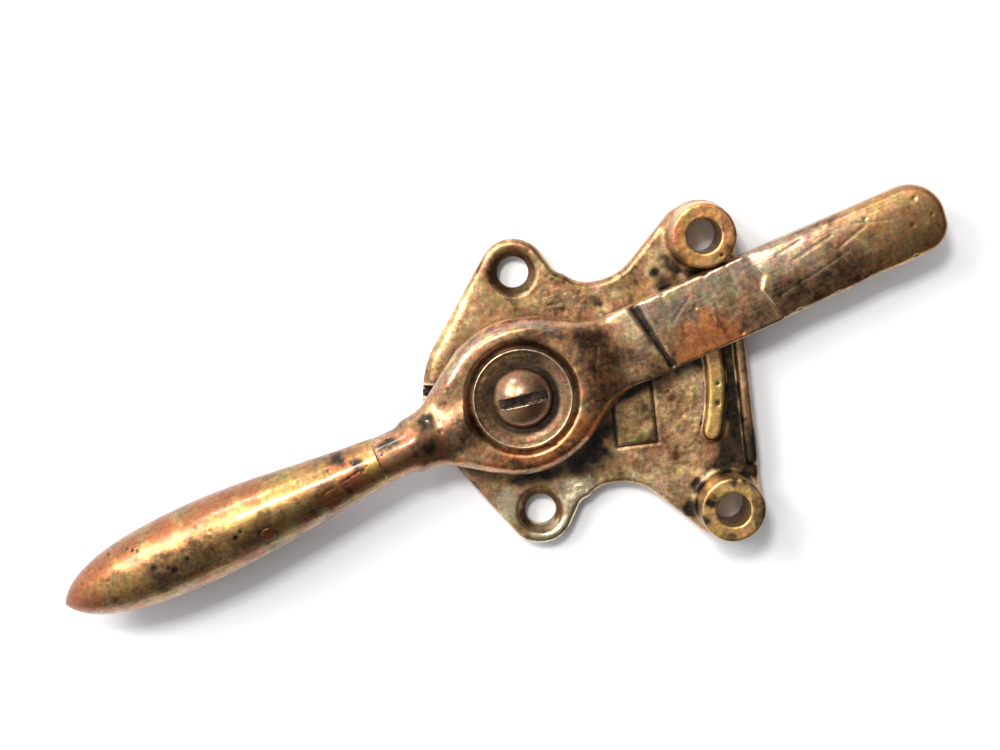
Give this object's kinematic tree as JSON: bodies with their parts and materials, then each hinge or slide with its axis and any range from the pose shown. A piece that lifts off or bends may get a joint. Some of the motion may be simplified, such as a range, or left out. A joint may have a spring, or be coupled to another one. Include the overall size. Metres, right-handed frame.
{
  "type": "cockspur window handle",
  "caption": "Window fastener: a sprung lever with a nose and a round handle turns on a cast base plate between two screw bosses that stop it.",
  "frame": {"origin": "on the lever's pivot axis, at the back face of the base plate", "axes": "+Z out of the plate along the pivot, +X along the plate's centre line towards its straight edge, +Y towards the boss that the lever rests on"},
  "size_m": [0.1602, 0.0602, 0.0165],
  "materials": {
    "plate_brass": "cast, tarnished brown with dark grime in its corners",
    "lever_brass": "cast and filed, tarnished, worn bright on its edges and nose",
    "grip_brass": "turned, handled smooth, golden with reddish tarnish",
    "pin_brass": "filed flush, dark",
    "washer_brass": "turned, olive tarnish, bright rim",
    "screw_bronze": "turned, reddish brown tarnish, slot worn bright",
    "bearing_bronze": "turned, oiled",
    "spring_steel": "blued strip, oily black"
  },
  "bodies": {
    "plate": {"base_plate": "plate_brass", "pivot_screw": "screw_bronze", "cup_washer": "washer_brass", "thrust_washer": "bearing_bronze", "return_spring": "spring_steel"},
    "lever": {"lever": "lever_brass", "hub_bush": "bearing_bronze", "handle_grip": "grip_brass", "grip_pin": "pin_brass"}
  },
  "joints": [
    {"name": "lever_pivot", "type": "hinge", "parent": "plate", "child": "lever", "pos_m": [0, 0, 0.008], "axis": [0, 0, 1], "range_deg": [-35.4, 0], "stiffness_Nm_per_rad": 0.3, "springref_deg": 22.92, "deforming": ["return_spring"]}
  ]
}
